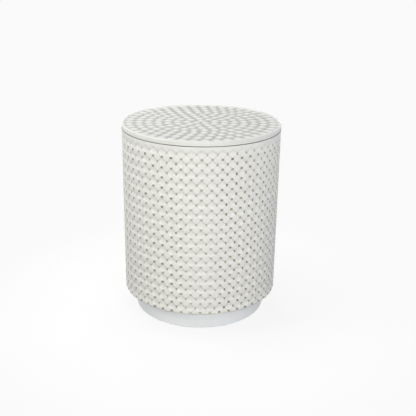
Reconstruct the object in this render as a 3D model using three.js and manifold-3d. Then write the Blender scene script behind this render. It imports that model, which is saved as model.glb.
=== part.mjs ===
// Round accent table: a drum of carved staves on a recessed plinth, closed by a carved top.
// Millimetres, +Z up, origin on the floor under the middle of the table.
// Angles are turns about +Z, counted from the front (-Y) towards the right (+X).
import * as THREE from "three";
import { mergeVertices, toCreasedNormals } from "three/addons/utils/BufferGeometryUtils.js";
import Module from "manifold-3d";

const wasm = await Module();
wasm.setup();

// Whole table
const tableHeight = 495;
const drumRadius = 200;
const glueLine = 0.3;
const cutOverrun = 5;

// Top board
const rimThickness = 12;
const topInset = 0.5;
const topEdgeRadius = 3;
const topEdgeSteps = 2;
const topLowerChamfer = 1;
const tongueDepth = 6;
const rimSides = 60;
const tongueSides = 36;

// Carving of the top: rings of domes, from the middle outwards
const plainRimWidth = 7.5;
const ringGrooveWidth = 2;
const topGrooveDepth = 3.2;
const topPitDepth = 4;
const domesInRing = [3, 9, 15, 21, 28, 33, 38, 43];
const roundBorderDomes = 10;
const ringStartShares = [0.43, 0.69, 0.04, 0.35, 0.29, 0.98, 0.67, 0.35];

// Staves of the drum wall
const staveCount = 12;
const staveThickness = 22;
const staveTopChamfer = 1.2;

// Carving of the wall: a diamond lattice of domes, high and low in turn, with a pit at each crossing of
// the grooves
const latticeColumns = 52;
const latticeStartShare = 0.59;
const rowPitch = 24.5;
const firstPitDrop = 18.8;
const wallPitDepth = 3;
const lowDomeDrop = 1.3;
const grooveEndDepth = 0.6;

// Hoop inside the drum's mouth
const hoopBlocks = 6;
const hoopWidth = 28;
const hoopHeight = 24;

// Dowels between hoop and top
const dowelRadius = 4;
const dowelInTop = 10;
const dowelInHoop = 16;
const dowelSides = 6;

// Board that closes the drum's bottom
const baseBoardThickness = 18;

// Plinth
const plinthHeight = 55;
const plinthRecess = 30;
const plinthBlocks = 8;
const plinthWall = 26;
const plinthArcSteps = 8;

// Screws through the base board into the plinth
const screwLength = 45;
const screwRadius = 2.2;
const screwHeadRadius = 4.5;
const screwHeadHeight = 2.6;
const screwTipLength = 5;
const screwClearance = 0.3;
const screwSides = 6;

// Glides under the plinth
const glideCount = 4;
const glideRadius = 10;
const glideThickness = 2;
const glideSides = 12;

// Sizes that follow from the ones above
const fullTurn = 2 * Math.PI;
const topRadius = drumRadius - topInset;
const carvedRadius = topRadius - plainRimWidth;
const ringPitch = carvedRadius / domesInRing.length;
const rimUnderside = tableHeight - rimThickness;
const tongueUnderside = rimUnderside - tongueDepth;
const drumTop = rimUnderside - glueLine;
const drumBottom = plinthHeight;
const innerFace = drumRadius - staveThickness;
const tongueRadius = innerFace - glueLine;
const hoopTop = tongueUnderside - glueLine;
const hoopBottom = hoopTop - hoopHeight;
const hoopMiddle = innerFace - glueLine - hoopWidth / 2;
const plinthBottom = glideThickness + glueLine;
const plinthTop = drumBottom - glueLine;
const plinthRadius = drumRadius - plinthRecess;
const plinthInnerFace = plinthRadius - plinthWall;
const plinthMiddle = plinthRadius - plinthWall / 2;
const baseBoardTop = drumBottom + baseBoardThickness;
const staveTurn = fullTurn / staveCount;
const columnTurn = fullTurn / latticeColumns;

// Finishes
const carvedPaint = { color: 0xe4e3dc, roughness: 0.62, metalness: 0 };
const plinthPaint = { color: 0xe2e5e6, roughness: 0.5, metalness: 0 };
const bareWood = { color: 0xb08a5c, roughness: 0.75, metalness: 0 };
const plyBoard = { color: 0xc2a071, roughness: 0.7, metalness: 0 };
const dowelWood = { color: 0xd2b48a, roughness: 0.7, metalness: 0 };
const zincSteel = { color: 0xb9bcc0, roughness: 0.35, metalness: 1 };
const nylon = { color: 0xd9d9d4, roughness: 0.45, metalness: 0 };

// Edges sharper than this stay crisp: the carving's grooves and ridges do, and the curved faces look smooth
const creaseAngle = fullTurn / 12;

const up = new THREE.Vector3(0, 0, 1);
const down = new THREE.Vector3(0, 0, -1);
const rightward = new THREE.Vector3(1, 0, 0);

const table = new THREE.Group();

// Closed geometry to solid and back, for the cuts
function toSolid(geometry) {
  const bare = geometry.clone();
  bare.deleteAttribute("normal");
  bare.deleteAttribute("uv");
  const merged = mergeVertices(bare);
  const corners = merged.index.array;
  const kept = [];
  for (let i = 0; i < corners.length; i += 3) {
    const [a, b, c] = [corners[i], corners[i + 1], corners[i + 2]];
    if (a !== b && b !== c && c !== a) kept.push(a, b, c);
  }
  const mesh = new wasm.Mesh({
    numProp: 3,
    vertProperties: new Float32Array(merged.attributes.position.array),
    triVerts: new Uint32Array(kept),
  });
  return new wasm.Manifold(mesh);
}

function toGeometry(solid) {
  const mesh = solid.getMesh();
  const geometry = new THREE.BufferGeometry();
  geometry.setAttribute("position", new THREE.BufferAttribute(new Float32Array(mesh.vertProperties), 3));
  geometry.setIndex(new THREE.BufferAttribute(new Uint32Array(mesh.triVerts), 1));
  return geometry;
}

function addPiece(name, geometry, finish) {
  const crisp = toCreasedNormals(geometry, creaseAngle);
  const mesh = new THREE.Mesh(crisp, new THREE.MeshStandardMaterial(finish));
  mesh.name = name;
  table.add(mesh);
}

function headingAt(angle) {
  return new THREE.Vector3(Math.sin(angle), -Math.cos(angle), 0);
}

function placeAt(angle, radius, height) {
  return headingAt(angle).multiplyScalar(radius).setZ(height);
}

// A skin is a list of corners, three to a triangle. A ring is a list of points, each with its angle,
// radius and height, and how deep it is carved.
function placePoint(point) {
  return placeAt(point.angle, point.radius, point.height);
}

// Band of triangles between two rings. Of the two edges that can come next the shorter is taken,
// with the depth of its ends counted off, so that grooves run from pit to pit.
function joinRings(low, high, closed, skin) {
  const stepsIn = (ring) => (ring.length > 1 ? ring.length - (closed ? 0 : 1) : 0);
  const at = (ring, i) => ring[i % ring.length];
  const edgeCost = (one, other) => {
    return placePoint(one).distanceTo(placePoint(other)) - one.carve - other.carve;
  };
  let i = 0;
  let j = 0;
  while (i < stepsIn(low) || j < stepsIn(high)) {
    let stepLow = j === stepsIn(high);
    if (i < stepsIn(low) && j < stepsIn(high)) {
      stepLow = edgeCost(at(low, i + 1), at(high, j)) <= edgeCost(at(low, i), at(high, j + 1));
    }
    const third = stepLow ? at(low, i + 1) : at(high, j + 1);
    skin.push(...[at(low, i), third, at(high, j)].map(placePoint));
    if (stepLow) i += 1;
    else j += 1;
  }
}

// Flat face through a loop of points, drawn in its own plane and split into triangles there
function addFlatFace(points, outward, skin) {
  const spots = points.map(placePoint);
  const level = Math.abs(outward.dot(up)) > 1 / 2;
  const across = new THREE.Vector3().crossVectors(level ? rightward : up, outward).normalize();
  const along = new THREE.Vector3().crossVectors(outward, across);
  const flat = spots.map((spot) => new THREE.Vector2(spot.dot(across), spot.dot(along)));
  for (const [a, b, c] of THREE.ShapeUtils.triangulateShape(flat, [])) {
    const leftTurn = flat[b].clone().sub(flat[a]).cross(flat[c].clone().sub(flat[a])) > 0;
    skin.push(...(leftTurn ? [a, b, c] : [a, c, b]).map((k) => spots[k]));
  }
}

function loft(rings) {
  const skin = [];
  for (let level = 1; level < rings.length; level += 1) joinRings(rings[level - 1], rings[level], true, skin);
  return new THREE.BufferGeometry().setFromPoints(skin);
}

function plainRing(sides, radius, height) {
  const ring = [];
  for (let k = 0; k < sides; k += 1) {
    const angle = (k / sides) * fullTurn;
    ring.push({ angle, radius, height, carve: 0 });
  }
  return ring;
}

function middlePoint(height, carve = 0) {
  return [{ angle: 0, radius: 0, height, carve }];
}

// Carved top: eight rings of domes inside a plain rim, with a tongue below that fits the drum's mouth
function topRing(index, radius, depths) {
  const domes = domesInRing[index];
  const ring = [];
  for (let k = 0; k < domes * depths.length; k += 1) {
    const domesPassed = ringStartShares[index] + k / depths.length + 1 / 2;
    const angle = ((domesPassed % domes) / domes) * fullTurn;
    const carve = depths[k % depths.length];
    ring.push({ angle, radius, height: tableHeight - carve, carve });
  }
  return ring.sort((one, other) => one.angle - other.angle);
}

function topCarving() {
  const rings = [];
  for (let index = domesInRing.length - 1; index >= 0; index -= 1) {
    const inner = index * ringPitch + ringGrooveWidth / 2;
    const outer = (index + 1) * ringPitch - ringGrooveWidth / 2;
    const border = domesInRing[index] < roundBorderDomes ? [topPitDepth, topGrooveDepth] : [topPitDepth];
    rings.push(topRing(index, outer, border));
    rings.push(topRing(index, (index + 1 / 2) * ringPitch, [topGrooveDepth, 0]));
    if (index > 0) rings.push(topRing(index, inner, border));
  }
  rings.push(middlePoint(tableHeight - topPitDepth, topPitDepth));
  return rings;
}

function topEdge() {
  const rings = [];
  for (let step = 0; step <= topEdgeSteps; step += 1) {
    const turn = (step / topEdgeSteps) * (Math.PI / 2);
    const radius = topRadius - topEdgeRadius * (1 - Math.cos(turn));
    const height = tableHeight - topEdgeRadius * (1 - Math.sin(turn));
    rings.push(plainRing(rimSides, radius, height));
  }
  return rings;
}

function buildTop() {
  const blank = toSolid(loft([
    middlePoint(tongueUnderside),
    plainRing(tongueSides, tongueRadius, tongueUnderside),
    plainRing(tongueSides, tongueRadius, rimUnderside),
    plainRing(rimSides, topRadius - topLowerChamfer, rimUnderside),
    plainRing(rimSides, topRadius, rimUnderside + topLowerChamfer),
    ...topEdge(),
    plainRing(rimSides, carvedRadius + ringGrooveWidth / 2, tableHeight),
    ...topCarving(),
  ]));
  return drillDowelHoles(blank, hoopIndexes());
}

// Drum wall: staves with a carved outer face and a flat inner one.
// Along a row the carving goes evenly from its depth on a column to its depth half-way between two.
function carveAt(angle, onColumn, betweenColumns) {
  const columns = angle / columnTurn - latticeStartShare;
  const fromColumn = Math.abs(columns - Math.round(columns)) / (1 / 2);
  return onColumn + (betweenColumns - onColumn) * fromColumn;
}

// Angles of the lattice points between two angles
function latticeAngles(from, to) {
  const halfColumn = columnTurn / 2;
  const start = latticeStartShare * columnTurn;
  const angles = [];
  const first = Math.floor((from - start) / halfColumn) + 1;
  for (let k = first; start + k * halfColumn < to; k += 1) angles.push(start + k * halfColumn);
  return angles;
}

// Points across a stave's carved face at one height, from joint to joint. A lattice point that lies
// within a glue line of a joint is left out, because the joint's own point stands for it.
function faceRow(index, height, faceRadius, onColumn, betweenColumns) {
  const joints = [-1, 1].map((side) => (index + side / 2) * staveTurn);
  const jointRoom = glueLine / faceRadius;
  const facePoint = (angle, side) => {
    const carve = carveAt(angle, onColumn, betweenColumns);
    const radius = faceRadius - carve;
    return { angle: angle - (side * glueLine) / 2 / radius, radius, height, carve };
  };
  return [
    facePoint(joints[0], -1),
    ...latticeAngles(joints[0] + jointRoom, joints[1] - jointRoom).map((angle) => facePoint(angle, 0)),
    facePoint(joints[1], 1),
  ];
}

// Rows of a stave's face, from the first pits below the drum's bottom edge up to its top
function faceRows(index) {
  const firstPits = drumTop - firstPitDrop;
  const rowStep = rowPitch / 2;
  const lowestRow = Math.ceil((firstPits - drumBottom) / rowStep);
  const rows = [];
  for (let row = lowestRow; row >= 0; row -= 1) {
    const depths = row % 2 === 0 ? [wallPitDepth, lowDomeDrop] : [0, wallPitDepth];
    rows.push(faceRow(index, firstPits - row * rowStep, drumRadius, ...depths));
  }
  rows.push(faceRow(index, firstPits + rowStep, drumRadius, 0, grooveEndDepth));
  rows.push(faceRow(index, drumTop - staveTopChamfer, drumRadius, 0, 0));
  rows.push(faceRow(index, drumTop, drumRadius - staveTopChamfer, 0, 0));
  return rows;
}

function innerCorner(index, side, height) {
  const radius = innerFace / Math.cos(staveTurn / 2);
  const angle = (index + side / 2) * staveTurn - (side * glueLine) / 2 / radius;
  return { angle, radius, height, carve: 0 };
}

function buildStave(index) {
  const rows = faceRows(index);
  const bottomRow = rows[0];
  const topRow = rows.at(-1);
  const [low, high] = [bottomRow[0].height, topRow[0].height];
  const [lowLeft, lowRight] = [-1, 1].map((side) => innerCorner(index, side, low));
  const [highLeft, highRight] = [-1, 1].map((side) => innerCorner(index, side, high));
  const leftEdge = rows.map((row) => row[0]);
  const rightEdge = rows.map((row) => row.at(-1));
  const towardsLeft = headingAt((index - 1 / 2) * staveTurn - fullTurn / 4);
  const towardsRight = headingAt((index + 1 / 2) * staveTurn + fullTurn / 4);
  const inward = headingAt(index * staveTurn).negate();
  const skin = [];
  for (let level = 1; level < rows.length; level += 1) joinRings(rows[level - 1], rows[level], false, skin);
  addFlatFace([...leftEdge, highLeft, lowLeft], towardsLeft, skin);
  addFlatFace([...rightEdge, highRight, lowRight], towardsRight, skin);
  addFlatFace([lowLeft, lowRight, highRight, highLeft], inward, skin);
  addFlatFace([...topRow, highRight, highLeft], up, skin);
  addFlatFace([...bottomRow, lowRight, lowLeft], down, skin);
  const blank = toSolid(new THREE.BufferGeometry().setFromPoints(skin));
  const waste = uprightCylinder(drumRadius + cutOverrun, low - cutOverrun, drumBottom, rimSides);
  return blank.subtract(toSolid(waste));
}

function extrudeBetween(shape, bottom, top) {
  const geometry = new THREE.ExtrudeGeometry(shape, { depth: top - bottom, bevelEnabled: false });
  return geometry.translate(0, 0, bottom);
}

// Hoop block: it bridges two joints of the staves, from the middle of one to the middle of the next but one
function hoopIndexes() {
  return Array.from({ length: hoopBlocks }, (_, index) => index);
}

function hoopTurn(index) {
  return (index + 1 / 2) * (fullTurn / hoopBlocks);
}

function hoopCorners(faceDepth) {
  const stavesSpanned = staveCount / hoopBlocks;
  const halfSpan = (stavesSpanned * staveTurn) / 2;
  const cornerRadius = faceDepth / Math.cos(staveTurn / 2);
  const endTrim = glueLine / 2;
  const points = [];
  for (let k = 0; k < stavesSpanned; k += 1) {
    const angle = (k + 1 / 2) * staveTurn - halfSpan;
    points.push(new THREE.Vector2(cornerRadius * Math.sin(angle), -cornerRadius * Math.cos(angle)));
  }
  const ends = [-1, 1].map((side) => {
    const end = new THREE.Vector2(side * faceDepth * Math.sin(halfSpan), -faceDepth * Math.cos(halfSpan));
    const along = new THREE.Vector2(-side * Math.cos(halfSpan), -Math.sin(halfSpan));
    return end.add(along.multiplyScalar(endTrim));
  });
  return [ends[0], ...points, ends[1]];
}

function buildHoopBlock(index) {
  const outerFace = innerFace - glueLine;
  const outline = new THREE.Shape([
    ...hoopCorners(outerFace),
    ...hoopCorners(outerFace - hoopWidth).reverse(),
  ]);
  const block = extrudeBetween(outline, hoopBottom, hoopTop);
  block.rotateZ(hoopTurn(index));
  return drillDowelHoles(toSolid(block), [index]);
}

function uprightCylinder(radius, bottom, top, sides) {
  const geometry = new THREE.CylinderGeometry(radius, radius, top - bottom, sides);
  return geometry.rotateX(Math.PI / 2).translate(0, 0, (top + bottom) / 2);
}

function dowelAt(index, radius, endRoom) {
  const bottom = hoopTop - dowelInHoop - endRoom;
  const top = tongueUnderside + dowelInTop + endRoom;
  const place = placeAt(hoopTurn(index), hoopMiddle, 0);
  return uprightCylinder(radius, bottom, top, dowelSides).translate(place.x, place.y, 0);
}

function drillDowelHoles(solid, indexes) {
  let drilled = solid;
  for (const index of indexes) {
    drilled = drilled.subtract(toSolid(dowelAt(index, dowelRadius + glueLine, glueLine)));
  }
  return drilled;
}

// Screw, or with clearance the hole that it passes through
function screwAt(index, clearance, headRoom) {
  const headTop = baseBoardTop + headRoom;
  const tip = baseBoardTop - screwLength - clearance;
  const profile = [
    new THREE.Vector2(0, tip),
    new THREE.Vector2(screwRadius + clearance, tip + screwTipLength),
    new THREE.Vector2(screwRadius + clearance, baseBoardTop - screwHeadHeight - clearance),
    new THREE.Vector2(screwHeadRadius + clearance, baseBoardTop - clearance),
    new THREE.Vector2(screwHeadRadius + clearance, headTop),
    new THREE.Vector2(0, headTop),
  ];
  const place = placeAt(plinthTurn(index), plinthMiddle, 0);
  return new THREE.LatheGeometry(profile, screwSides).rotateX(Math.PI / 2).translate(place.x, place.y, 0);
}

// Base board inside the staves, with a straight side for each of them
function buildBaseBoard() {
  const cornerRadius = (innerFace - glueLine) / Math.cos(staveTurn / 2);
  const corners = [];
  for (let index = 0; index < staveCount; index += 1) {
    const corner = placeAt((index + 1 / 2) * staveTurn, cornerRadius, 0);
    corners.push(new THREE.Vector2(corner.x, corner.y));
  }
  let board = toSolid(extrudeBetween(new THREE.Shape(corners), drumBottom, baseBoardTop));
  for (let index = 0; index < plinthBlocks; index += 1) {
    board = board.subtract(toSolid(screwAt(index, screwClearance, cutOverrun)));
  }
  return board;
}

// Plinth: mitred blocks, turned round outside and left flat inside, each with a blind hole for its screw
function plinthTurn(index) {
  return (index + 1 / 2) * (fullTurn / plinthBlocks);
}

function plinthOutline() {
  const halfTurn = fullTurn / plinthBlocks / 2;
  const cornerRadius = plinthInnerFace / Math.cos(halfTurn);
  const outerHalf = halfTurn - glueLine / 2 / plinthRadius;
  const innerHalf = halfTurn - glueLine / 2 / cornerRadius;
  const front = -fullTurn / 4;
  const outline = new THREE.Shape();
  outline.absarc(0, 0, plinthRadius, front - outerHalf, front + outerHalf, false);
  for (const side of [1, -1]) {
    const corner = placeAt(side * innerHalf, cornerRadius, 0);
    outline.lineTo(corner.x, corner.y);
  }
  return outline;
}

// An arc is drawn with two steps for each curve segment
function buildPlinthBlock(index) {
  const block = new THREE.ExtrudeGeometry(plinthOutline(), {
    depth: plinthTop - plinthBottom,
    bevelEnabled: false,
    curveSegments: plinthArcSteps / 2,
  });
  block.translate(0, 0, plinthBottom).rotateZ(plinthTurn(index));
  return toSolid(block).subtract(toSolid(screwAt(index, screwClearance, cutOverrun)));
}

// Glide: a low disc stuck under the plinth
function glideAt(glide) {
  const block = glide * (plinthBlocks / glideCount);
  const place = placeAt(plinthTurn(block), plinthMiddle, 0);
  return uprightCylinder(glideRadius, 0, glideThickness, glideSides).translate(place.x, place.y, 0);
}

function numbered(name, index, digits = 1) {
  return `${name}_${String(index + 1).padStart(digits, "0")}`;
}

// Assembly
addPiece("carved_top", toGeometry(buildTop()), carvedPaint);

for (let index = 0; index < staveCount; index += 1) {
  addPiece(numbered("stave", index, 2), toGeometry(buildStave(index)), carvedPaint);
}

for (const index of hoopIndexes()) {
  addPiece(numbered("hoop", index), toGeometry(buildHoopBlock(index)), bareWood);
  addPiece(numbered("dowel", index), dowelAt(index, dowelRadius, 0), dowelWood);
}

addPiece("base_board", toGeometry(buildBaseBoard()), plyBoard);

for (let index = 0; index < plinthBlocks; index += 1) {
  addPiece(numbered("plinth", index), toGeometry(buildPlinthBlock(index)), plinthPaint);
  addPiece(numbered("screw", index), toGeometry(toSolid(screwAt(index, 0, 0))), zincSteel);
}

for (let glide = 0; glide < glideCount; glide += 1) {
  addPiece(numbered("glide", glide), glideAt(glide), nylon);
}

export default table;
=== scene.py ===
# %% [markdown]
# # A round accent table with a carved drum
#
# This lesson dresses a finished CAD model of a side table. The real table is a drum of glued
# wooden staves on a smaller round plinth. Its wall is carved all over with small domes and dishes
# and its top with rings of domes. The drum is painted warm white and the plinth a cooler white.
# Brown wood shows in the pits of the wall, and hardly at all on the top.
#
# The CAD model holds the sizes and the joints of the pieces. Here each carved piece is modelled
# again with the soft shapes that a gouge leaves, in the same place, and every surface gets its
# finish.

# %% Load the frame
import math

import bmesh
import bpy
from mathutils import Matrix, Quaternion, Vector


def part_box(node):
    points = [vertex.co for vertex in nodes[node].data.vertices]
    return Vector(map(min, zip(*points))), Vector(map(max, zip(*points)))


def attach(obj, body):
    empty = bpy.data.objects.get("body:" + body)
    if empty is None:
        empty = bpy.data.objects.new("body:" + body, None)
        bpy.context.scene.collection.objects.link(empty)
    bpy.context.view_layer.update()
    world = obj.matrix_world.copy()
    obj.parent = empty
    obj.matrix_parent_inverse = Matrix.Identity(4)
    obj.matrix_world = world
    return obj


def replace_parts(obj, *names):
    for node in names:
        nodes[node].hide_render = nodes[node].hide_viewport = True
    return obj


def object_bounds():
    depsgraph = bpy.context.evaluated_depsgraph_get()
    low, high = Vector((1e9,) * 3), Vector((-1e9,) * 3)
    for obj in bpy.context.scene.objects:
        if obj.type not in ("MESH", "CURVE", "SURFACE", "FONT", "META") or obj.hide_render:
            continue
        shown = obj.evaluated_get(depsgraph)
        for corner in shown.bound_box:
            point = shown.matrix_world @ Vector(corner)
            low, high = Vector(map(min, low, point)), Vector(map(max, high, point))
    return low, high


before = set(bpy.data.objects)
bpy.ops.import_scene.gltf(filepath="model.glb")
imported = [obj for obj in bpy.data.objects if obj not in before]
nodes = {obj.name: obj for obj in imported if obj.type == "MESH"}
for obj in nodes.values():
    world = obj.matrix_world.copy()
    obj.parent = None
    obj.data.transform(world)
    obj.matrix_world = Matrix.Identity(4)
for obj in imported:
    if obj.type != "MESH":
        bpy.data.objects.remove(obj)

cad_low, cad_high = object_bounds()
scene = bpy.context.scene
print(f"{len(nodes)} CAD nodes, {cad_high.x - cad_low.x:.3f} m across and {cad_high.z:.3f} m high")

# %% [markdown]
# ## Camera
#
# The photograph was taken from a little above, with a long lens. A camera can be matched by eye,
# but four round outlines of known proportion, the top, the seam, the drum's foot and the plinth,
# fix it much better. Focal length and picture centre are given in pixels of the square
# photograph, and turned into Blender's lens and shift here.

# %% Camera
photo_side_px = 416
focal_px = 706.0
picture_centre_px = (200.4, 216.0)
camera_elevation = math.radians(20.96)
camera_roll = math.radians(0.63)
camera_distance = 1.863
camera_aim = Vector((0, 0, 0.24))

backwards = Vector((0, -math.cos(camera_elevation), math.sin(camera_elevation)))
camera_data = bpy.data.cameras.new("camera")
camera_data.lens = camera_data.sensor_width * focal_px / photo_side_px
camera_data.shift_x = 0.5 - picture_centre_px[0] / photo_side_px
camera_data.shift_y = picture_centre_px[1] / photo_side_px - 0.5
camera = bpy.data.objects.new("camera", camera_data)
scene.collection.objects.link(camera)
camera.rotation_mode = "QUATERNION"
camera.rotation_quaternion = backwards.to_track_quat("Z", "Y") @ Quaternion((0, 0, 1), camera_roll)
camera.location = camera_aim + backwards * camera_distance
scene.camera = camera
print(f"lens {camera_data.lens:.1f} mm, shift {camera_data.shift_x:.4f}, {camera_data.shift_y:.4f}")

# %% [markdown]
# ## Light
#
# The photograph shows a white object on white with hardly any shadow: large soft lamps stood all
# round it. Low lamps near the table make the relief of the wall read sideways, and light from
# above would draw a bright line under each row of pits, which the photograph doesn't have. So the
# wall is lit by a half-circle of low and middling lamps, stronger on the left, and the top by two
# high ones, which graze the wall. Two small ones light the back. Their powers were chosen by
# rendering each lamp alone and comparing how bright the wall, the rim, the plinth and the top
# come out all round. Lamps are hidden from the camera. The world gives next to no light, but the
# eye sees it nearly white. The view transform is Standard, so a colour comes out about as it is
# written.

# %% World and lamps
world_strength = 0.01
world_colour = (0.93, 0.965, 1.03)
backdrop_white = 0.955
lamp_ring, high_lamp_ring = 1.5, 0.6
lamp_size, small_lamp_size = 0.7, 0.35
plain_light, warm_light, cool_light = (1, 1, 0.99), (1, 0.99, 0.96), (0.97, 0.99, 1.12)
scene.view_settings.view_transform = "Standard"


def new_link(tree, source, target):
    tree.links.new(source, target)


def new_node(tree, kind, **settings):
    node = tree.nodes.new(kind)
    for name, value in settings.items():
        setattr(node, name, value)
    return node


def make_world():
    """A world that gives next to no light and looks nearly white to the eye."""
    world = bpy.data.worlds.new("studio")
    world.use_nodes = True
    tree = world.node_tree
    tree.nodes.clear()
    lit = new_node(tree, "ShaderNodeBackground")
    lit.inputs["Color"].default_value = (*world_colour, 1)
    lit.inputs["Strength"].default_value = world_strength
    seen = new_node(tree, "ShaderNodeBackground")
    seen.inputs["Color"].default_value = (backdrop_white, backdrop_white, backdrop_white, 1)
    mix = new_node(tree, "ShaderNodeMixShader")
    output = new_node(tree, "ShaderNodeOutputWorld")
    new_link(tree, seen_by_eye(tree), mix.inputs["Fac"])
    new_link(tree, lit.outputs["Background"], mix.inputs[1])
    new_link(tree, seen.outputs["Background"], mix.inputs[2])
    new_link(tree, mix.outputs["Shader"], output.inputs["Surface"])
    return world


def seen_by_eye(tree):
    """One for rays from the camera, a mirror or glass, and zero for rays that only light."""
    path = new_node(tree, "ShaderNodeLightPath")
    gloss = new_node(tree, "ShaderNodeMath", operation="ADD")
    total = new_node(tree, "ShaderNodeMath", operation="ADD", use_clamp=True)
    new_link(tree, path.outputs["Is Camera Ray"], gloss.inputs[0])
    new_link(tree, path.outputs["Is Glossy Ray"], gloss.inputs[1])
    new_link(tree, gloss.outputs["Value"], total.inputs[0])
    new_link(tree, path.outputs["Is Transmission Ray"], total.inputs[1])
    return total.outputs["Value"]


def add_lamp(name, turn_deg, height, power, out=lamp_ring, size=lamp_size, colour=plain_light):
    """A square lamp that looks at the table. Its turn is counted from the front to the right."""
    turn = math.radians(turn_deg)
    place = Vector((out * math.sin(turn), -out * math.cos(turn), height))
    data = bpy.data.lights.new(name, "AREA")
    data.shape = "SQUARE"
    data.size, data.energy, data.color = size, power, colour
    lamp = bpy.data.objects.new(name, data)
    scene.collection.objects.link(lamp)
    lamp.location = place
    lamp.rotation_euler = (place - camera_aim).to_track_quat("Z", "Y").to_euler()
    lamp.visible_camera = False
    print(f"{name}: {power} W, {turn_deg} degrees round and {height} m up")


scene.world = make_world()
add_lamp("far_left_lamp", turn_deg=-110, height=1.1, power=3.4)
add_lamp("left_lamp", turn_deg=-72, height=1.0, power=10.2)
add_lamp("front_lamp", turn_deg=-15, height=0.3, power=6.9, colour=warm_light)
add_lamp("near_right_lamp", turn_deg=20, height=0.3, power=7.0)
add_lamp("upper_right_lamp", turn_deg=20, height=1.0, power=5.1)
add_lamp("right_lamp", turn_deg=75, height=1.1, power=5.5, colour=cool_light)
add_lamp("far_right_lamp", turn_deg=110, height=1.1, power=3.5, colour=cool_light)
add_lamp("high_left_lamp", turn_deg=-90, height=1.7, power=7.4, out=high_lamp_ring)
add_lamp("high_back_lamp", turn_deg=180, height=1.7, power=6.0, out=high_lamp_ring)
add_lamp("back_left_lamp", turn_deg=-165, height=0.3, power=6.5, size=small_lamp_size)
add_lamp("back_right_lamp", turn_deg=165, height=0.3, power=6.5, size=small_lamp_size)

# %% [markdown]
# ## Carved wall: the lattice
#
# The carver draws a net of slanting lines on the wall, cuts a groove along each of them and
# drives a gouge in where they cross. Between the grooves stand small fields. The net is drawn
# here in two numbers for each point: the column, counted round the drum, and the row, counted
# down from the first pits. Grooves run where column plus row, or column minus row, is whole. So
# there are two kinds of pit: one on whole columns and rows, an upright oval, and one half-way
# between, a lying oval. The fields between them are of two kinds as well, and alternate: a low
# dome between two upright pits, one above the other, and a shallow dish between two upright pits
# that stand side by side.
#
# A function then says how deep the wood is cut away at any column and row. A formula is used and
# not a sculpted mesh, because every field must meet its neighbours exactly, also across a glue
# joint. The carving fades out just below the top, where the wall ends in a plain edge.

# %% Lattice of the wall
stave_count = 12
drum_radius = min(cad_high.x, cad_high.y)
front_stave_low, front_stave_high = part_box("stave_01")
drum_bottom, drum_top = front_stave_low.z, front_stave_high.z
inner_face = -front_stave_high.y

lattice_columns = 52
lattice_start_share = 0.59
row_pitch = 0.0245
first_pit_drop = 0.0188
first_pits = drum_top - first_pit_drop
middle_row = 8
column_turn = math.tau / lattice_columns
column_pitch = column_turn * drum_radius
diamond_side = math.hypot(column_pitch, row_pitch) / 2
print(f"columns {column_pitch * 1000:.1f} mm apart, rows {row_pitch * 1000:.1f} mm")

# %% Depth of the carving
half_diamond = 0.5
dome_fall = 0.0011
bowl_depth = 0.0016
bowl_radius = 0.0115
shelf_depth = 0.0013
shelf_squareness = 8
upright_pit_depth = 0.0026
lying_pit_depth = 0.0018
pit_half_sizes = (0.0023, 0.0034)
fade_rows = (-0.55, -0.2)


def smooth_step(value, low, high):
    share = min(max((value - low) / (high - low), 0), 1)
    return share * share * (3 - 2 * share)


def pit_share(column, row, half_width, half_height):
    """One in the middle of a pit, falling to zero at its edge."""
    across = column * column_pitch / half_width
    along = row * row_pitch / half_height
    return max(0, 1 - across * across - along * along) ** 2


def wall_depth(column, row):
    """How far the wood lies below the drum's outer radius."""
    slant_up, slant_down = column + row, column - row
    across = slant_up - math.floor(slant_up) - half_diamond
    along = slant_down - math.floor(slant_down) - half_diamond
    off_centre = across ** 2 + along ** 2
    depth = dome_fall * off_centre / (2 * half_diamond ** 2)
    if (math.floor(slant_up) + math.floor(slant_down)) % 2 == 0:
        bowl = max(0, 1 - diamond_side ** 2 * off_centre / bowl_radius ** 2) ** 2
        to_sides = [(abs(share) / half_diamond) ** shelf_squareness for share in (across, along)]
        shelf = max(0, 1 - to_sides[0] - to_sides[1])
        depth += bowl_depth * bowl + shelf_depth * shelf
    short, long = pit_half_sizes
    upright = pit_share(column - round(column), row - round(row), short, long)
    lying = pit_share(column - math.floor(column) - 0.5, row - math.floor(row) - 0.5, long, short)
    depth += max(upright_pit_depth * upright, lying_pit_depth * lying)
    return depth * smooth_step(row, *fade_rows)


deepest_carving = wall_depth(0, middle_row)
spots = {"dome": (0, 0.5), "dish": (0.5, 0), "groove": (0.25, 0.25), "pit": (0, 0)}
for spot, (column, row) in spots.items():
    print(f"{spot}: {wall_depth(column, middle_row + row) * 1000:.1f} mm deep")

# %% Helpers that close a sheet to a solid
uncarved_spot = (0.5, middle_row)
no_difference = 1e-6


def new_sheet():
    """An empty bmesh with the layers that the paint reads."""
    mesh = bmesh.new()
    mesh.verts.layers.float.new("carving")
    mesh.verts.layers.float.new("seam")
    mesh.loops.layers.uv.new("lattice")
    return mesh


def leave_uncarved(mesh, faces):
    """Moves faces to a spot of the lattice that has neither pit nor groove."""
    lattice = mesh.loops.layers.uv["lattice"]
    for face in faces:
        for loop in face.loops:
            loop[lattice].uv = uncarved_spot


def drawn_to(mesh, edges, place_at):
    """Draws faces from a row of edges to where a function puts them. Gives the new row."""
    carving, seam = mesh.verts.layers.float["carving"], mesh.verts.layers.float["seam"]
    made = bmesh.ops.extrude_edge_only(mesh, edges=edges)["geom"]
    ends = {item for item in made if isinstance(item, bmesh.types.BMVert)}
    for vert in ends:
        vert.co = place_at(vert.co)
        vert[carving] = vert[seam] = 0
    leave_uncarved(mesh, [item for item in made if isinstance(item, bmesh.types.BMFace)])
    edges = [item for item in made if isinstance(item, bmesh.types.BMEdge)]
    return [edge for edge in edges if ends.issuperset(edge.verts)]


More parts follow.
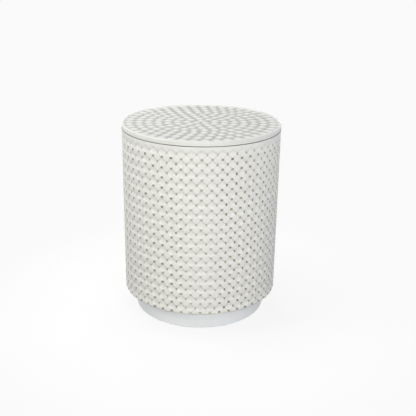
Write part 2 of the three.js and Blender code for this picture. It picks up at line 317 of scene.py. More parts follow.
def at_angle(angle, radius, height):
    """A point by its turn from the front to the right, its radius and its height."""
    return Vector((radius * math.sin(angle), -radius * math.cos(angle), height))


def angle_of(point):
    return math.atan2(point.x, -point.y)


def finished_object(name, mesh):
    """Turns a bmesh into an object that rides on the frame's only body."""
    bmesh.ops.recalc_face_normals(mesh, faces=mesh.faces)
    data = bpy.data.meshes.new(name)
    mesh.to_mesh(data)
    mesh.free()
    made = bpy.data.objects.new(name, data)
    scene.collection.objects.link(made)
    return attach(made, "root")


# %% [markdown]
# ## Carved wall: one stave
#
# A stave starts as a flat grid with one face to each diamond of the net. Diamonds that lie wholly
# off the stave are deleted, the rest are subdivided, and the new lines are drawn towards the
# grooves, where the surface turns most. Then the sheet is cut to the stave's edges with
# bisect_plane, still flat, and only after that it is bent round the drum and carved. A grid that
# runs along the grooves keeps them crisp with few faces, where an upright grid would make them
# ragged.

# %% Flat sheet of a stave
steps_in_diamond = 7
crowding = 0.65
stave_turn = math.tau / stave_count
edge_round = 0.0010
# The foot's painted shade: how dark it is, and over what share of the edge rounding it fades.
foot_shade = 0.7
foot_shade_span = (0.6, 1.6)
edge_steps = 3


def crowd_to_grooves(slant):
    """Draws the lines inside a diamond towards its borders, which stay where they are."""
    return slant - crowding * math.sin(math.tau * slant) / math.tau


def column_at(angle):
    return angle / column_turn - lattice_start_share


def row_at(height):
    return (first_pits - height) / row_pitch


def angle_at(column):
    return (column + lattice_start_share) * column_turn


def height_at(row):
    return first_pits - row * row_pitch


def cut_sheet(mesh, place, direction, keep_all=False):
    """Cuts along a plane and drops the side that the direction points to, unless all is kept."""
    everything = mesh.verts[:] + mesh.edges[:] + mesh.faces[:]
    bmesh.ops.bisect_plane(mesh, geom=everything, dist=no_difference, plane_co=place,
                           plane_no=direction, clear_outer=not keep_all)


def flat_stave_sheet(index):
    """The stave's carved face unrolled: x is the angle round the drum and z the height."""
    left, right = (index - 0.5) * stave_turn, (index + 0.5) * stave_turn
    columns = (column_at(left), column_at(right))
    rows = (row_at(drum_top), row_at(drum_bottom))
    first_up, last_up = math.floor(columns[0] + rows[0]), math.ceil(columns[1] + rows[1])
    first_down, last_down = math.floor(columns[0] - rows[1]), math.ceil(columns[1] - rows[0])
    count_up, count_down = last_up - first_up, last_down - first_down
    mesh = new_sheet()
    bmesh.ops.create_grid(mesh, x_segments=count_up, y_segments=count_down, size=half_diamond)
    bmesh.ops.scale(mesh, vec=(count_up, count_down, 1), verts=mesh.verts)
    middle = Vector(((first_up + last_up) / 2, (first_down + last_down) / 2, 0))
    bmesh.ops.translate(mesh, vec=middle, verts=mesh.verts)

    def is_far(face):
        slant_up, slant_down, _ = face.calc_center_median()
        column, row = (slant_up + slant_down) / 2, (slant_up - slant_down) / 2
        in_columns = columns[0] - half_diamond < column < columns[1] + half_diamond
        in_rows = rows[0] - half_diamond < row < rows[1] + half_diamond
        return not (in_columns and in_rows)

    bmesh.ops.delete(mesh, geom=[face for face in mesh.faces if is_far(face)], context="FACES")
    bmesh.ops.subdivide_edges(mesh, edges=mesh.edges[:], cuts=steps_in_diamond - 1,
                              use_grid_fill=True)
    for vert in mesh.verts:
        slant_up, slant_down = crowd_to_grooves(vert.co.x), crowd_to_grooves(vert.co.y)
        vert.co = (angle_at((slant_up + slant_down) / 2), 0, height_at((slant_up - slant_down) / 2))
    cut_sheet(mesh, (left, 0, 0), (-1, 0, 0))
    cut_sheet(mesh, (right, 0, 0), (1, 0, 0))
    cut_sheet(mesh, (0, 0, drum_bottom), (0, 0, -1))
    cut_sheet(mesh, (0, 0, drum_top), (0, 0, 1))
    for step in range(1, edge_steps + 1):
        inset = edge_round * (step / edge_steps) ** 2
        cut_sheet(mesh, (0, 0, drum_bottom + inset), (0, 0, 1), keep_all=True)
        cut_sheet(mesh, (0, 0, drum_top - inset), (0, 0, 1), keep_all=True)
    return mesh


def edge_depth(height):
    """Rounds the stave's upper and lower edge by a quarter circle."""
    to_edge = min(height - drum_bottom, drum_top - height)
    inside = min(max(edge_round - to_edge, 0), edge_round)
    return edge_round - math.sqrt(edge_round ** 2 - inside ** 2)


sample = flat_stave_sheet(0)
print(f"front stave: {len(sample.faces)} faces in the flat sheet")
sample.free()

# %% Bend, carve and thicken a stave
stave_merge = 2e-5


def carved_stave(index):
    """A whole stave, its carved face bent round the drum and its back flat."""
    mesh = flat_stave_sheet(index)
    lattice = mesh.loops.layers.uv["lattice"]
    carving, seam = mesh.verts.layers.float["carving"], mesh.verts.layers.float["seam"]
    centre = index * stave_turn
    for face in mesh.faces:
        face.smooth = True
        for loop in face.loops:
            loop[lattice].uv = (column_at(loop.vert.co.x), row_at(loop.vert.co.z))
    for vert in mesh.verts:
        angle, _, height = vert.co
        depth = wall_depth(column_at(angle), row_at(height))
        vert[carving] = depth / deepest_carving
        # Painted shade: a dark line at the top edge under the seam and at the foot, where the gap's
        # shadow falls.
        at_top = smooth_step(height, drum_top - edge_round, drum_top - edge_round / 2)
        foot_low, foot_high = (drum_bottom + edge_round * share for share in foot_shade_span)
        at_foot = 1 - smooth_step(height, foot_low, foot_high)
        vert[seam] = max(at_top, foot_shade * at_foot)
        vert.co = at_angle(angle, drum_radius - depth - edge_depth(height), height)
    bmesh.ops.remove_doubles(mesh, verts=mesh.verts, dist=stave_merge)
    rim = [edge for edge in mesh.edges if edge.is_boundary]

    def on_the_back(point):
        return at_angle(angle_of(point), inner_face / math.cos(angle_of(point) - centre), point.z)

    back = drawn_to(mesh, rim, on_the_back)
    for edge in rim:
        edge.smooth = False
    leave_uncarved(mesh, bmesh.ops.contextual_create(mesh, geom=back)["faces"])
    return mesh


carved_staves = []
for index in range(stave_count):
    node = f"stave_{index + 1:02d}"
    stave = finished_object(f"carved_{node}", carved_stave(index))
    carved_staves.append(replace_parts(stave, node))
print(f"{stave_count} staves, {sum(len(stave.data.polygons) for stave in carved_staves)} faces")

# %% [markdown]
# ## Carved top: rings of domes
#
# The top is a turned board. Eight rings are marked on it from the middle outwards, and each ring
# is divided into oval domes, from three in the middle to forty-three in the outermost. Each ring
# starts at its own turn, so the domes of neighbouring rings don't line up, and the gaps between
# them run on as loose curves, which the eye reads as spirals. A ring is made as a flat grid, bent
# into a circle and carved by a formula. The grids of two rings have different counts, so
# bridge_loops sews them together at the bottom of the groove between them, where nobody sees the
# seam. From the border of the rings the board is drawn on outwards to a plain rim with a soft
# edge, and then down to a tongue that sits in the drum's mouth and holds a blind hole for each
# dowel.

# %% Rings of the top
top_low, top_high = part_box("carved_top")
top_radius = -top_low.y
top_height = top_high.z
plain_rim = 0.0075
carved_radius = top_radius - plain_rim
dome_counts = (3, 9, 15, 21, 28, 33, 38, 43)
ring_starts = (0.43, 0.69, 0.04, 0.35, 0.29, 0.98, 0.67, 0.35)
ring_width = carved_radius / len(dome_counts)
ring_seam = 0.0006
ring_merge = 1e-5
half_dome = 0.5
near_end = 0.499
top_carving = 0.0040
top_roundness = 1.6
ring_gap_share = 0.72
dome_gap_share = 1.2
border_softness = 0.6
steps_along_dome = 8
steps_across_ring = 7


def top_depth(across, along):
    """How far the wood lies below the rim. Both numbers run over a dome, from -0.5 to 0.5."""
    spread = ring_gap_share * across * across + dome_gap_share * along * along
    return top_carving * (1 - math.exp(-top_roundness * spread / half_dome ** 2))


def carved_ring(mesh, ring, carving, lattice):
    """One ring of domes. Gives its inner and its outer edges."""
    domes = dome_counts[ring]
    inner = ring * ring_width + (ring_seam / 2 if ring else 0)
    outer = (ring + 1) * ring_width - ring_seam / 2
    grid = bmesh.ops.create_grid(mesh, x_segments=domes * steps_along_dome,
                                 y_segments=steps_across_ring, size=half_dome)
    verts = grid["verts"]
    faces = {face for vert in verts for face in vert.link_faces}
    for face in faces:
        face.smooth = True
        for loop in face.loops:
            across, along = loop.vert.co.y + half_dome, loop.vert.co.x + half_dome
            loop[lattice].uv = (along * domes, ring + across)
    low_end = {vert for vert in verts if vert.co.y < -near_end}
    high_end = {vert for vert in verts if vert.co.y > near_end}
    for vert in verts:
        phase = (vert.co.x + half_dome) * domes
        across, along = vert.co.y, phase - math.floor(phase) - half_dome
        to_rim = ring == len(dome_counts) - 1 and across > 0
        depth = top_depth(across * border_softness if to_rim else across, along)
        vert[carving] = depth / top_carving
        angle = (phase + ring_starts[ring] + half_dome) / domes * math.tau
        radius = inner + (across + half_dome) * (outer - inner)
        vert.co = at_angle(angle, radius, top_height - depth)
    bmesh.ops.remove_doubles(mesh, verts=verts, dist=ring_merge)
    edges = {edge for face in faces if face.is_valid for edge in face.edges}
    return [[edge for edge in edges if end.issuperset(edge.verts)] for end in (low_end, high_end)]


def carved_field(mesh):
    """All the rings, sewn together. Gives the edges of the outermost border."""
    carving = mesh.verts.layers.float["carving"]
    lattice = mesh.loops.layers.uv["lattice"]
    outer_border = None
    for ring in range(len(dome_counts)):
        inner_edges, outer_edges = carved_ring(mesh, ring, carving, lattice)
        if outer_border:
            bmesh.ops.bridge_loops(mesh, edges=outer_border + inner_edges)
        outer_border = outer_edges
    return outer_border


print(f"{len(dome_counts)} rings, {ring_width * 1000:.1f} mm wide each")

# %% Rim, tongue and dowel holes of the top
glue_line = 0.0003
rim_underside = drum_top + glue_line
rim_edge_radius = 0.0030
rim_edge_steps = 6
rim_lower_chamfer = 0.0010
inner_rim_slope = 0.0010
hole_sides = 32
crease_angle = math.radians(30)
dowel_count = 6
dowels = [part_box(f"dowel_{index + 1}") for index in range(dowel_count)]


def rim_profile():
    """Radius and height of each line round the board, from the carved field outwards and down."""
    points = [(carved_radius + inner_rim_slope, top_height)]
    for step in range(rim_edge_steps + 1):
        turn = step / rim_edge_steps * math.pi / 2
        points.append((top_radius - rim_edge_radius * (1 - math.sin(turn)),
                       top_height - rim_edge_radius * (1 - math.cos(turn))))
    points.append((top_radius, rim_underside + rim_lower_chamfer))
    points.append((top_radius - rim_lower_chamfer, rim_underside))
    points.append((inner_face - glue_line, rim_underside))
    points.append((inner_face - glue_line, top_low.z))
    return points


def face_with_holes(mesh, rim, level, holes):
    """Fills a flat face round blind holes. Each hole is its centre, its radius and its end."""
    circles = []
    for centre, radius, end in holes:
        place = Matrix.Translation((centre.x, centre.y, level))
        circle = bmesh.ops.create_circle(mesh, segments=hole_sides, radius=radius, matrix=place)
        edges = {edge for vert in circle["verts"] for edge in vert.link_edges}
        circles.append((list(edges), end))
    all_edges = rim + [edge for circle, _ in circles for edge in circle]
    bmesh.ops.triangle_fill(mesh, use_beauty=True, use_dissolve=False, edges=all_edges)
    for circle, end in circles:
        bottom = drawn_to(mesh, circle, lambda point: Vector((point.x, point.y, end)))
        bmesh.ops.contextual_create(mesh, geom=bottom)


def carved_board():
    """The whole top: rings, rim, tongue and dowel holes."""
    mesh = new_sheet()
    border = carved_field(mesh)
    for radius, height in rim_profile():
        border = drawn_to(mesh, border, lambda point: at_angle(angle_of(point), radius, height))
    for face in mesh.faces:
        face.smooth = True
    # Painted shade: the rim's underside is dark at the seam, where the gap's shadow falls.
    seam = mesh.verts.layers.float["seam"]
    for vert in mesh.verts:
        vert[seam] = 1 if vert.co.z < rim_underside + glue_line else 0
    below_carving = top_height - top_carving - rim_lower_chamfer
    for edge in mesh.edges:
        if max(vert.co.z for vert in edge.verts) < below_carving and edge.is_manifold:
            edge.smooth = edge.calc_face_angle() < crease_angle
    holes = [((low + high) / 2, (high.y - low.y) / 2 + glue_line, high.z + glue_line)
             for low, high in dowels]
    face_with_holes(mesh, border, top_low.z, holes)
    return mesh


top = finished_object("carved_board", carved_board())
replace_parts(top, "carved_top")
print(f"{sum(dome_counts)} domes on the top, {len(top.data.polygons)} faces")

# %% [markdown]
# ## Plinth and glides
#
# The plinth is a ring of eight mitred blocks. It is plain, so all that it needs is a true round
# face and a soft lower edge. A block starts as a grid on the round face, like a stave, and its
# rim is drawn in to the flat back. The screw's hole is left open in the upper side. A glide is a
# disc whose two edges are bevelled.

# %% Plinth blocks
plinth_count = 8
plinth_arc_steps = 24
plinth_height_steps = 24
plinth_edge_round = 0.0015
plinth_wall = 0.026
screw_hole_radius = 0.0025
plinth_low, plinth_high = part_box("plinth_1")
plinth_radius = -plinth_low.y
plinth_turn = math.tau / plinth_count
half_grid = 0.5


def is_level(edge):
    return abs(edge.verts[0].co.z - edge.verts[1].co.z) < no_difference


def plinth_block(index):
    """A block, round outside and flat inside, with the blind hole of its screw."""
    mesh = new_sheet()
    centre = (index + 0.5) * plinth_turn
    half_turn = plinth_turn / 2 - glue_line / 2 / plinth_radius
    bmesh.ops.create_grid(mesh, x_segments=plinth_arc_steps, y_segments=plinth_height_steps,
                          size=half_grid)
    middle, height = (plinth_low.z + plinth_high.z) / 2, plinth_high.z - plinth_low.z
    for vert in mesh.verts:
        crowded = math.sin(vert.co.y * math.pi) / 2
        level = middle + crowded * height
        to_edge = min(level - plinth_low.z, plinth_high.z - level)
        inside = min(max(plinth_edge_round - to_edge, 0), plinth_edge_round)
        rounding = plinth_edge_round - math.sqrt(plinth_edge_round ** 2 - inside ** 2)
        turn = vert.co.x / half_grid * half_turn
        vert.co = at_angle(centre + turn, plinth_radius - rounding, level)
    for face in mesh.faces:
        face.smooth = True
    rim = [edge for edge in mesh.edges if edge.is_boundary]
    sides = [edge for edge in rim if not is_level(edge)]
    inner_radius = (plinth_radius - plinth_wall) / math.cos(plinth_turn / 2)
    inner_half_turn = plinth_turn / 2 - glue_line / 2 / inner_radius

    def inner_corner(point):
        side = math.copysign(1, math.sin(angle_of(point) - centre))
        return at_angle(centre + side * inner_half_turn, inner_radius, point.z)

    back = drawn_to(mesh, sides, inner_corner)
    for edge in rim:
        edge.smooth = False
    bmesh.ops.contextual_create(mesh, geom=back)
    open_edges = [edge for edge in mesh.edges if edge.is_boundary]
    lower = [edge for edge in open_edges if all(vert.co.z < middle for vert in edge.verts)]
    upper = [edge for edge in open_edges if edge not in lower]
    bmesh.ops.contextual_create(mesh, geom=lower)
    screw_low, screw_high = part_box(f"screw_{index + 1}")
    hole = ((screw_low + screw_high) / 2, screw_hole_radius, screw_low.z - glue_line)
    face_with_holes(mesh, upper, plinth_high.z, [hole])
    return mesh


plinth_blocks = []
for index in range(plinth_count):
    block = finished_object(f"turned_plinth_{index + 1}", plinth_block(index))
    plinth_blocks.append(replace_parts(block, f"plinth_{index + 1}"))
print(f"{plinth_count} plinth blocks, {len(plinth_blocks[0].data.polygons)} faces each")

# %% Glides
glide_count = 4
glide_sides = 40
glide_edge_round = 0.0006


def glide_disc(low, high):
    """A low disc with rounded edges."""
    mesh = bmesh.new()
    radius = (high.y - low.y) / 2
    bmesh.ops.create_cone(mesh, cap_ends=True, segments=glide_sides, radius1=radius, radius2=radius,
                          depth=high.z - low.z, matrix=Matrix.Translation((low + high) / 2))
    edges = [edge for edge in mesh.edges if is_level(edge)]
    bmesh.ops.bevel(mesh, geom=edges, offset=glide_edge_round, affect="EDGES", segments=3,
                    profile=0.5, material=-1)
    return mesh


glides = []
for index in range(glide_count):
    node = f"glide_{index + 1}"
    disc = finished_object(f"soft_{node}", glide_disc(*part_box(node)))
    glides.append(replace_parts(disc, node))
print(f"{glide_count} glides")

# %% [markdown]
# ## Paint that is shared
#
# All paint on the table was brushed on thinly. It is a little uneven in tone, and under it the
# grain of the wood makes a faint relief. Both come from one node group, which all the paints
# share. The noise is laid on the object's own coordinates, so it stays put when the camera moves,
# and it is stretched upwards for the grain, because the staves stand on end.

# %% Helpers for node trees
def new_group(name, inputs, outputs):
    """A node group with named sockets. Gives the group with its entry and its exit."""
    group = bpy.data.node_groups.new(name, "ShaderNodeTree")
    for socket, kind in inputs:
        group.interface.new_socket(socket, in_out="INPUT", socket_type=kind)
    for socket, kind in outputs:
        group.interface.new_socket(socket, in_out="OUTPUT", socket_type=kind)
    return group, new_node(group, "NodeGroupInput"), new_node(group, "NodeGroupOutput")


def maths(tree, operation, first, second=None):
    """A Math node on sockets or plain numbers. Gives its result."""
    node = new_node(tree, "ShaderNodeMath", operation=operation)
    for socket, value in zip(node.inputs, (first, second)):
        if isinstance(value, (int, float)):
            socket.default_value = value
        elif value is not None:
            new_link(tree, value, socket)
    return node.outputs["Value"]


def vector_maths(tree, operation, first, second=None):
    """A Vector Math node on sockets or plain vectors. Gives its result."""
    node = new_node(tree, "ShaderNodeVectorMath", operation=operation)
    for socket, value in zip(node.inputs, (first, second)):
        if isinstance(value, (tuple, list)):
            socket.default_value = value
        elif value is not None:
            new_link(tree, value, socket)
    return node.outputs["Value" if operation in ("LENGTH", "DOT_PRODUCT") else "Vector"]


def blended(tree, first, second, share):
    """Two values added, the first by its share and the second by the rest."""
    first_part = maths(tree, "MULTIPLY", first, share)
    second_part = maths(tree, "MULTIPLY", second, 1 - share)
    return maths(tree, "ADD", first_part, second_part)


def split(tree, vector):
    """The first two coordinates of a vector."""
    node = new_node(tree, "ShaderNodeSeparateXYZ")
    new_link(tree, vector, node.inputs["Vector"])
    return node.outputs["X"], node.outputs["Y"]


def object_place(tree):
    return new_node(tree, "ShaderNodeTexCoord").outputs["Object"]


def attribute(tree, name):
    return new_node(tree, "ShaderNodeAttribute", attribute_name=name).outputs["Fac"]


def ranged(tree, value, low, high, to_low=0.0, to_high=1.0):
    """A smooth step of a value from one range to another."""
    node = new_node(tree, "ShaderNodeMapRange", interpolation_type="SMOOTHSTEP")
    new_link(tree, value, node.inputs["Value"])
    numbers = {"From Min": low, "From Max": high, "To Min": to_low, "To Max": to_high}
    for socket, number in numbers.items():
        node.inputs[socket].default_value = number
    return node.outputs["Result"]


def mixed(tree, factor, first, second):
    """Two colours mixed. Each is a socket or a plain colour."""
    node = new_node(tree, "ShaderNodeMix", data_type="RGBA")
    new_link(tree, factor, node.inputs["Factor"])
    for socket, value in ((node.inputs["A"], first), (node.inputs["B"], second)):
        if isinstance(value, tuple):
            socket.default_value = (*value, 1)
        else:
            new_link(tree, value, socket)
    return node.outputs["Result"]


def noise(tree, vector, scale, detail=2):
    """Soft noise from zero to one. A larger scale makes it finer."""
    node = new_node(tree, "ShaderNodeTexNoise")
    new_link(tree, vector, node.inputs["Vector"])
    node.inputs["Scale"].default_value = scale
    node.inputs["Detail"].default_value = detail
    return node.outputs["Fac"]


# %% Brushed paint group
cloud_scale, speck_scale, grain_scale = 28, 240, 900
along_the_grain = (1, 1, 0.06)
cloud_share = 0.6
speck_share = 0.5


def make_brushed_paint():
    """Outputs a tone from zero to one, and a height of brush marks and grain."""
    outputs = [("Tone", "NodeSocketFloat"), ("Height", "NodeSocketFloat")]
    group, _, leave = new_group("brushed_paint", [], outputs)
    place = object_place(group)
    cloud = noise(group, place, cloud_scale, detail=3)
    speck = noise(group, place, speck_scale)
    grain = noise(group, vector_maths(group, "MULTIPLY", place, along_the_grain), grain_scale)
    new_link(group, blended(group, cloud, speck, cloud_share), leave.inputs["Tone"])
    new_link(group, blended(group, speck, grain, speck_share), leave.inputs["Height"])
    return group


def new_material(name):
    """A material with only its shader. Gives the material, its tree and the shader."""
    material = bpy.data.materials.new(name)
    material.use_nodes = True
    return material, material.node_tree, material.node_tree.nodes["Principled BSDF"]


def use_group(tree, group):
    node = new_node(tree, "ShaderNodeGroup")
    node.node_tree = group
    return node


def add_bump(tree, shader, height, strength, distance):
    bump = new_node(tree, "ShaderNodeBump")
    bump.inputs["Strength"].default_value = strength
    bump.inputs["Distance"].default_value = distance
    new_link(tree, height, bump.inputs["Height"])
    new_link(tree, bump.outputs["Normal"], shader.inputs["Normal"])


brushed_paint = make_brushed_paint()
print(f"brushed paint: {len(brushed_paint.nodes)} nodes")

# %% [markdown]
# ## Paint on the carving
#
# Brown wood shows in the pits, because the brush never reached down to their bottoms. How much of
# it shows differs from pit to pit, so each pit draws its own random number from its place in the
# lattice. The middle of a pit is a painted shade, darker than the wood, where the hole is deepest.
# Round the table the pits also carry painted light: they are paler in front, where the lamps shine
# straight into them, and the upright ones are paler on the left. The paint fills the pits of the
# first row under the rim. On the wall the pits are found from the UV map, which counts columns and
# rows, and so are the grooves between them, where the paint is a little greyer, partly for dust and
# partly as painted shade. On the top the gouge left hardly any bare wood. There the gaps between
# domes are only greyer, again partly dust and partly painted shade, and how grey comes from the
# depth of the carving, stored on the mesh as an attribute. The seam under the rim and the drum's
# lower edge get a painted shade, a dark line where the gap's shadow falls, so they share an
# attribute of their own.

# %% Pit group
cell_middle = (0.5, 0.5, 0)
even_chance = (0.5, 0.5, 0.5)
pit_wander = 0.05
pit_edge = (1.25, 0.85)
pit_size_spread = 0.05
palest_pit = 0.8


def make_oval_pit():
    """A mask over one kind of pit. Its cell's number draws its place, its size and its strength."""
    inputs = [(name, "NodeSocketVector") for name in ("Lattice", "Offset", "Size")]
    group, enter, leave = new_group("oval_pit", inputs, [("Mask", "NodeSocketFloat")])
    lattice, offset, size = (enter.outputs[name] for name, _ in inputs)
    moved = vector_maths(group, "ADD", lattice, offset)
    inside = vector_maths(group, "SUBTRACT", vector_maths(group, "FRACTION", moved), cell_middle)
    number = vector_maths(group, "ADD", vector_maths(group, "FLOOR", moved), offset)
    chance = new_node(group, "ShaderNodeTexWhiteNoise", noise_dimensions="3D")
    new_link(group, number, chance.inputs["Vector"])
    drawn = vector_maths(group, "SUBTRACT", chance.outputs["Color"], even_chance)
    nudge = vector_maths(group, "MULTIPLY", drawn, (pit_wander, pit_wander, 0))
    off_centre = vector_maths(group, "SUBTRACT", inside, nudge)
    reach = vector_maths(group, "LENGTH", vector_maths(group, "MULTIPLY", off_centre, size))
    smaller = maths(group, "MULTIPLY", chance.outputs["Value"], pit_size_spread)
    oval = ranged(group, maths(group, "ADD", reach, smaller), *pit_edge)
    strength = ranged(group, chance.outputs["Value"], 1.0, 0.0, palest_pit, 1.0)
    new_link(group, maths(group, "MULTIPLY", oval, strength), leave.inputs["Mask"])
    return group


oval_pit = make_oval_pit()
print(f"oval pit: {len(oval_pit.nodes)} nodes")

# %% Pits and grooves of the wall
upright_paint_size = (0.0024, 0.0036)
lying_paint_size = (0.0036, 0.0027)
# Painted light: the upright pits are paler on the left, where the light falls into them.
left_to_right = (-0.95, 0.25)
upright_shares = (0.5, 0.84)
lying_shares = (0.78, 0.84)
# Painted light: the pits are paler in front, where the lamps shine straight into them.
lit_pits_heading = (0, -1, 0)
lit_pits_span = (0.955, 0.996)
lit_pits_share = 0.66
upright_pit_rows = (-0.35, 0.25)
# The grooves of the wall are greyer, partly for dust and partly as painted shade.
groove_half_width = 0.14
groove_dirt_and_shade = 0.32


def wall_pits(tree):
    """One where the bare wood of a pit shows on the wall, less in front and on the left, where
    painted light makes the pits paler.
    """
    lattice = new_node(tree, "ShaderNodeUVMap", uv_map="lattice").outputs["UV"]
    outwards = vector_maths(tree, "MULTIPLY", object_place(tree), (1, 1, 0))
    heading = vector_maths(tree, "NORMALIZE", outwards)
    to_the_right, _ = split(tree, heading)
    masks = []
    for offset, (half_width, half_height), shares in (
            (cell_middle, upright_paint_size, upright_shares),
            ((0, 0, 0), lying_paint_size, lying_shares)):
        pit = use_group(tree, oval_pit)
        new_link(tree, lattice, pit.inputs["Lattice"])
        pit.inputs["Offset"].default_value = offset
        pit.inputs["Size"].default_value = (column_pitch / half_width, row_pitch / half_height, 0)
        share = ranged(tree, to_the_right, *left_to_right, *shares)
        masks.append(maths(tree, "MULTIPLY", pit.outputs["Mask"], share))
    facing = vector_maths(tree, "DOT_PRODUCT", heading, lit_pits_heading)
    front_light_fade = ranged(tree, facing, *lit_pits_span, 1.0, lit_pits_share)
    _, row = split(tree, lattice)
    bare = maths(tree, "MULTIPLY", maths(tree, "MAXIMUM", *masks), front_light_fade)
    return maths(tree, "MULTIPLY", bare, ranged(tree, row, *upright_pit_rows))


def wall_grooves(tree):
    """How grey the paint is, for dust and painted shade: most in the middle of a groove of the net,
    and none beside it.
    """
    column, row = split(tree, new_node(tree, "ShaderNodeUVMap", uv_map="lattice").outputs["UV"])
    slants = [maths(tree, slant, column, row) for slant in ("ADD", "SUBTRACT")]
    beside = [maths(tree, "PINGPONG", slant, half_diamond) for slant in slants]
    nearest = maths(tree, "MINIMUM", *beside)
    line = ranged(tree, nearest, 0.0, groove_half_width, groove_dirt_and_shade, 0.0)
    return maths(tree, "MULTIPLY", line, ranged(tree, row, *upright_pit_rows))


# %% Pits and grooves of the top
top_groove_depths = (0.28, 1.0)
top_pit_depths = (0.86, 0.97)
patch_scale = 40
patch_span = (0.5, 0.75)
patch_strength = 0.5


def top_grooves(tree):
    """Deeper cuts of the top are greyer, for dust and painted shade."""
    return ranged(tree, attribute(tree, "carving"), *top_groove_depths)


def top_pits(tree):
    """A faint tint, in patches, where the top is cut deepest."""
    clouds = noise(tree, object_place(tree), patch_scale)
    patches = ranged(tree, clouds, *patch_span, 0.0, patch_strength)
    deepest = ranged(tree, attribute(tree, "carving"), *top_pit_depths)
    return maths(tree, "MULTIPLY", deepest, patches)


# %% Carved paint
# One paint in two whites: the top's is a painted shade darker than the wall's, because the lamps
# light the top more strongly.
lit_wall_whites = (0.755, 0.755, 0.72), (0.835, 0.835, 0.795)
shaded_top_whites = (0.71, 0.71, 0.68), (0.785, 0.785, 0.75)
# Greys for dust and painted shade in the grooves of the wall and the deep cuts of the top.
wall_groove_grey = (0.47, 0.45, 0.39)
top_groove_grey = (0.39, 0.385, 0.365)
# Painted shade for the seam under the rim and for the drum's foot.
painted_seam_shade = (0.13, 0.13, 0.13)
pit_brown = (0.23, 0.165, 0.015)
# Painted shade: the middle of a strong pit turns darker than the brown wood, where the hole is
# deepest.
pit_core_shade = (0.08, 0.05, 0.006)
darkening_span = (0.4, 1.0)


def make_carved_paint(name, whites, grooves_of, groove_grey, pits_of):
    """White paint with greyer grooves of dust and painted shade, bare wood in the pits with a
    painted shade in their middle, and a painted shade in the seam.
    """
    material, tree, shader = new_material(name)
    paint = use_group(tree, brushed_paint)
    white = mixed(tree, paint.outputs["Tone"], *whites)
    grooves_dusty_and_shaded = mixed(tree, grooves_of(tree), white, groove_grey)
    pits = pits_of(tree)
    wood = mixed(tree, ranged(tree, pits, *darkening_span), pit_brown, pit_core_shade)
    carved = mixed(tree, pits, grooves_dusty_and_shaded, wood)
    colour = mixed(tree, attribute(tree, "seam"), carved, painted_seam_shade)
    new_link(tree, colour, shader.inputs["Base Color"])
    shader.inputs["Roughness"].default_value = 0.42
    add_bump(tree, shader, paint.outputs["Height"], strength=0.4, distance=0.0004)
    print(f"{name}: {len(tree.nodes)} nodes")
    return material


wall_paint = make_carved_paint("carved_wall_paint", lit_wall_whites, wall_grooves, wall_groove_grey,
                               wall_pits)
top_paint = make_carved_paint("carved_top_paint", shaded_top_whites, top_grooves, top_groove_grey,
                              top_pits)
for stave in carved_staves:
    stave.data.materials.append(wall_paint)
top.data.materials.append(top_paint)

# %% [markdown]
# ## Paint on the plinth
#
# The plinth is plain and was painted in a cooler, smoother white. A single white would look like
# plastic, because a real coat is never quite even. So it takes the same brushed group as the
# carving, with two whites that lie closer together and less bump.

# %% Plinth paint
plinth_white = (0.885, 0.905, 0.925)
plinth_grey = (0.85, 0.87, 0.885)


def make_plinth_paint():
    """The same brush on plain wood, with a cooler and a little duller white."""
    material, tree, shader = new_material("plinth_paint")
    paint = use_group(tree, brushed_paint)
    white = mixed(tree, paint.outputs["Tone"], plinth_grey, plinth_white)
    new_link(tree, white, shader.inputs["Base Color"])
    shader.inputs["Roughness"].default_value = 0.5
    add_bump(tree, shader, paint.outputs["Height"], strength=0.25, distance=0.0003)
    return material


plinth_paint = make_plinth_paint()
for block in plinth_blocks:
    block.data.materials.append(plinth_paint)
print(f"{len(plinth_blocks)} plinth blocks are painted")

# %% [markdown]
# ## Floor
#
# The photograph shows no edge between floor and wall, and next to no shadow. A floor that is lit
# to white would throw far too much light up at the table. So the floor is a dark grey that glows
# only for rays that come from the camera or from a mirror. Near the table its own shade still
# shows through, and further out it fades into the same white as the world.

# %% Floor
floor_size = 40.0
floor_grey = 0.16
floor_fade = (0.3, 0.7)
near_glow = 0.825


def make_floor():
    """A wide square, grey near the table, which turns to the world's white further out."""
    mesh = bmesh.new()
    bmesh.ops.create_grid(mesh, x_segments=1, y_segments=1, size=floor_size / 2)
    data = bpy.data.meshes.new("floor")
    mesh.to_mesh(data)
    mesh.free()
    floor = bpy.data.objects.new("floor", data)
    scene.collection.objects.link(floor)
    material, tree, shader = new_material("floor_white")
    outwards = vector_maths(tree, "LENGTH", object_place(tree))
    near = ranged(tree, outwards, *floor_fade, 1.0, 0.0)
    shade = mixed(tree, near, (0, 0, 0), (floor_grey, floor_grey, floor_grey))
    new_link(tree, shade, shader.inputs["Base Color"])
    shader.inputs["Roughness"].default_value = 0.9
    shader.inputs["Specular IOR Level"].default_value = 0.0
    shader.inputs["Emission Color"].default_value = (1, 1, 1, 1)
    glow = ranged(tree, outwards, *floor_fade, near_glow, backdrop_white)
    seen = maths(tree, "MULTIPLY", seen_by_eye(tree), glow)
    new_link(tree, seen, shader.inputs["Emission Strength"])
    data.materials.append(material)


make_floor()
print(f"floor: {floor_size:.0f} m wide, fades from {floor_fade[0]} m to {floor_fade[1]} m")

# %% [markdown]
# ## Bare wood, steel and nylon
#
# Nobody sees the inside of the drum, but the pieces there are real, and a reader may hide the
# staves to look at them. So each has its own finish. Wood is a stack of thin growth rings. They
# are drawn as a wave whose distance is bent by noise, along the direction in which the piece was
# cut: upwards in the hoop's blocks and the dowels, and flat in the board under the drum.

# %% Wood grain group
wave_settings = {"Scale": 45, "Distortion": 5, "Detail": 3, "Detail Scale": 1.5}
pore_scale = 1400
wave_share = 0.7


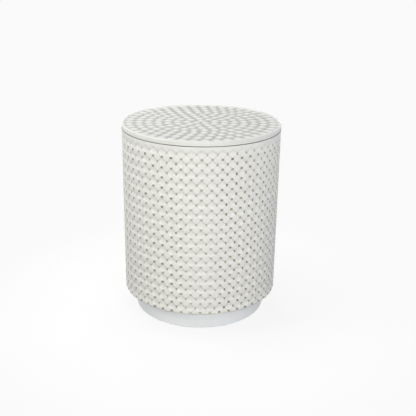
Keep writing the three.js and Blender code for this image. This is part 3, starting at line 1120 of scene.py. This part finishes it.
def make_wood_grain():
    """Growth rings and pores. Outputs a ring share from zero to one and a height."""
    outputs = [("Rings", "NodeSocketFloat"), ("Height", "NodeSocketFloat")]
    group, enter, leave = new_group("wood_grain", [("Stretch", "NodeSocketVector")], outputs)
    stretched = vector_maths(group, "MULTIPLY", object_place(group), enter.outputs["Stretch"])
    wave = new_node(group, "ShaderNodeTexWave", wave_type="BANDS", bands_direction="DIAGONAL")
    for socket, number in wave_settings.items():
        wave.inputs[socket].default_value = number
    new_link(group, stretched, wave.inputs["Vector"])
    pores = noise(group, stretched, pore_scale)
    new_link(group, blended(group, wave.outputs["Fac"], pores, wave_share), leave.inputs["Rings"])
    new_link(group, pores, leave.inputs["Height"])
    return group


wood_grain = make_wood_grain()
print(f"wood grain: {len(wood_grain.nodes)} nodes")


def make_bare_wood(name, stretch, early, late, roughness):
    """Wood without a finish. The stretch is small along the grain."""
    material, tree, shader = new_material(name)
    grain = use_group(tree, wood_grain)
    grain.inputs["Stretch"].default_value = stretch
    new_link(tree, mixed(tree, grain.outputs["Rings"], early, late), shader.inputs["Base Color"])
    shader.inputs["Roughness"].default_value = roughness
    add_bump(tree, shader, grain.outputs["Height"], strength=0.3, distance=0.0002)
    return material


# %% Steel and nylon
zinc_grey, zinc_pale = (0.50, 0.51, 0.53), (0.66, 0.67, 0.68)
zinc_patch_scale = 700
zinc_patch_span, zinc_roughness = (0.3, 0.7), (0.28, 0.42)
nylon_grey, nylon_pale = (0.66, 0.65, 0.61), (0.74, 0.73, 0.70)
nylon_texture_scale = 1800


def make_zinc_steel():
    """Screws with a thin zinc coat, whose crystals make it a little patchy."""
    material, tree, shader = new_material("zinc_steel")
    patches = noise(tree, object_place(tree), zinc_patch_scale, detail=3)
    new_link(tree, mixed(tree, patches, zinc_grey, zinc_pale), shader.inputs["Base Color"])
    roughness = ranged(tree, patches, *zinc_patch_span, *zinc_roughness)
    new_link(tree, roughness, shader.inputs["Roughness"])
    shader.inputs["Metallic"].default_value = 1.0
    return material


def make_pale_nylon():
    """Glides of milky nylon with the fine texture of their mould."""
    material, tree, shader = new_material("pale_nylon")
    texture = noise(tree, object_place(tree), nylon_texture_scale)
    new_link(tree, mixed(tree, texture, nylon_grey, nylon_pale), shader.inputs["Base Color"])
    shader.inputs["Roughness"].default_value = 0.45
    add_bump(tree, shader, texture, strength=0.2, distance=0.0001)
    return material


# %% Finish of each CAD piece
finishes = {
    "hoop": make_bare_wood("mango_hoop", stretch=(1, 1, 0.08), early=(0.42, 0.27, 0.14),
                           late=(0.27, 0.16, 0.08), roughness=0.6),
    "dowel": make_bare_wood("beech_dowel", stretch=(1, 1, 0.05), early=(0.60, 0.42, 0.25),
                            late=(0.50, 0.33, 0.19), roughness=0.55),
    "base": make_bare_wood("birch_board", stretch=(0.08, 1, 1), early=(0.68, 0.54, 0.37),
                           late=(0.56, 0.42, 0.27), roughness=0.6),
    "screw": make_zinc_steel(),
    "glide": make_pale_nylon(),
}
dressed = 0
for disc in glides:
    disc.data.materials.append(finishes["glide"])
for name, node in nodes.items():
    finish = finishes.get(name.split("_")[0])
    if not finish:
        continue
    if not node.data.materials:
        node.data.materials.append(finish)
    for slot in node.material_slots:
        slot.material = finish
    dressed += 1
print(f"{dressed} CAD pieces have their finish")
